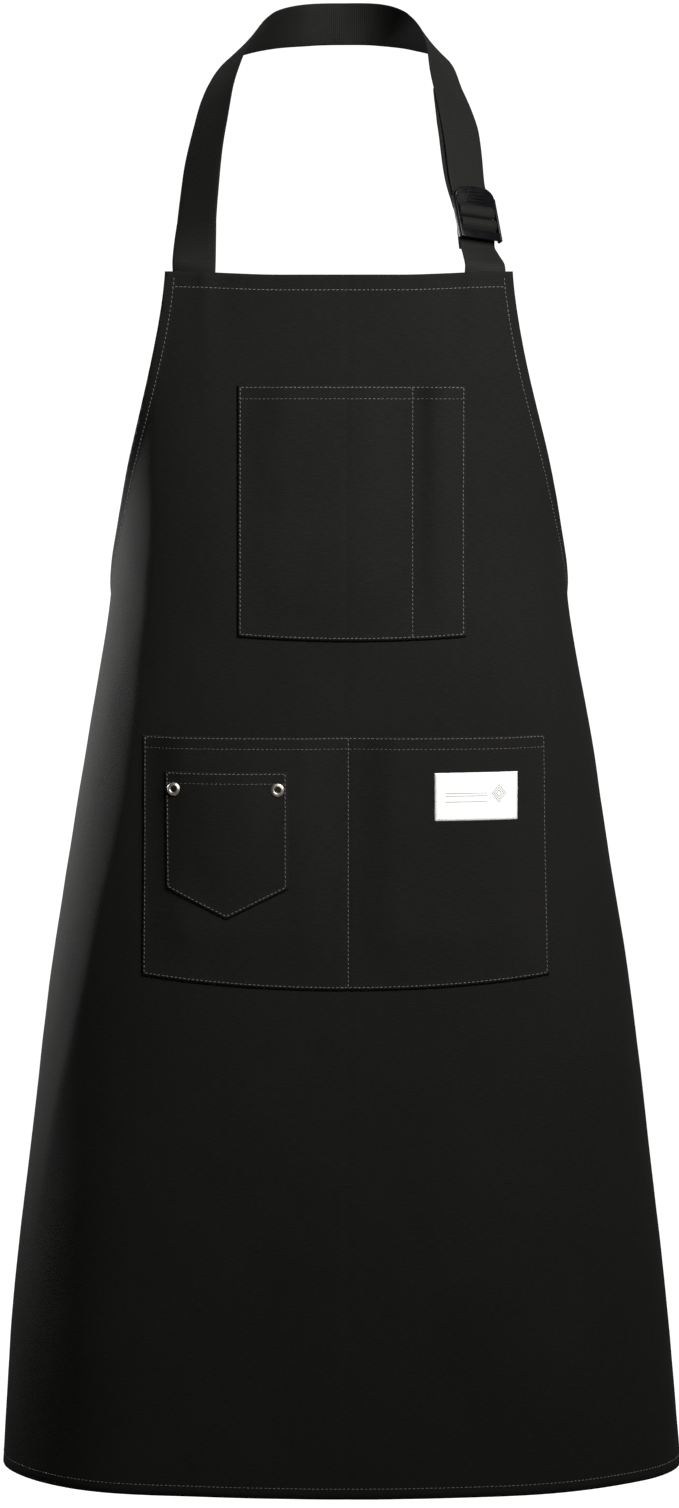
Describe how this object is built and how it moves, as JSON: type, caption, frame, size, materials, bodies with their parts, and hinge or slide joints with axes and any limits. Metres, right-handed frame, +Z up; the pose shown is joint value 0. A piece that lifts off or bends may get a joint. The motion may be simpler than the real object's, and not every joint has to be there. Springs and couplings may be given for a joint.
{
  "type": "bib apron",
  "caption": "Black twill bib apron with a divided chest pocket, a divided lower pocket, a riveted pointed pocket, a buckled neck strap and tied waist ties",
  "frame": {"origin": "the inner middle of the neck strap, where it rests on the back of the neck", "axes": "+X is the viewer's right when facing the front of the apron, -Y the front, +Z up"},
  "size_m": [0.4832, 0.2988, 1.045],
  "materials": {
    "twill": "black cotton and polyester twill, matte, with a soft sheen",
    "pocket_twill": "the same black twill, doubled at its hems, with grey topstitching",
    "webbing": "black polypropylene webbing with a ribbed weave",
    "tie_tape": "black herringbone cotton tape",
    "buckle_plastic": "black moulded acetal, glossy",
    "nickel": "nickel-plated brass, lightly polished",
    "label_satin": "white woven satin with a plain woven border, no lettering"
  },
  "bodies": {
    "neck_loop": {"neck_strap": "webbing", "strap_tail": "webbing", "strap_stub": "webbing"},
    "apron": {"apron_panel": "twill", "chest_pocket": "pocket_twill", "lower_pocket": "pocket_twill", "small_pocket": "pocket_twill", "left_rivet_cap": "nickel", "left_rivet_burr": "nickel", "right_rivet_cap": "nickel", "right_rivet_burr": "nickel", "label": "label_satin", "left_strap_end": "webbing", "right_strap_end": "webbing", "left_waist_tie": "tie_tape", "right_waist_tie": "tie_tape", "left_bow_loop": "tie_tape", "right_bow_loop": "tie_tape", "left_tie_tail": "tie_tape", "right_tie_tail": "tie_tape", "bow_knot": "tie_tape"},
    "buckle": {"buckle_frame": "buckle_plastic", "strap_turn": "webbing"}
  },
  "joints": [
    {"name": "bib_fold", "type": "hinge", "parent": "neck_loop", "child": "apron", "pos_m": [0, -0.16215, -0.184], "axis": [-1, 0, 0], "range_deg": [-15, 90]},
    {"name": "buckle_tilt", "type": "hinge", "parent": "neck_loop", "child": "buckle", "pos_m": [0.09518, -0.15057, -0.156], "axis": [0.8258, 0.557, -0.0881], "range_deg": [0, 20]}
  ]
}
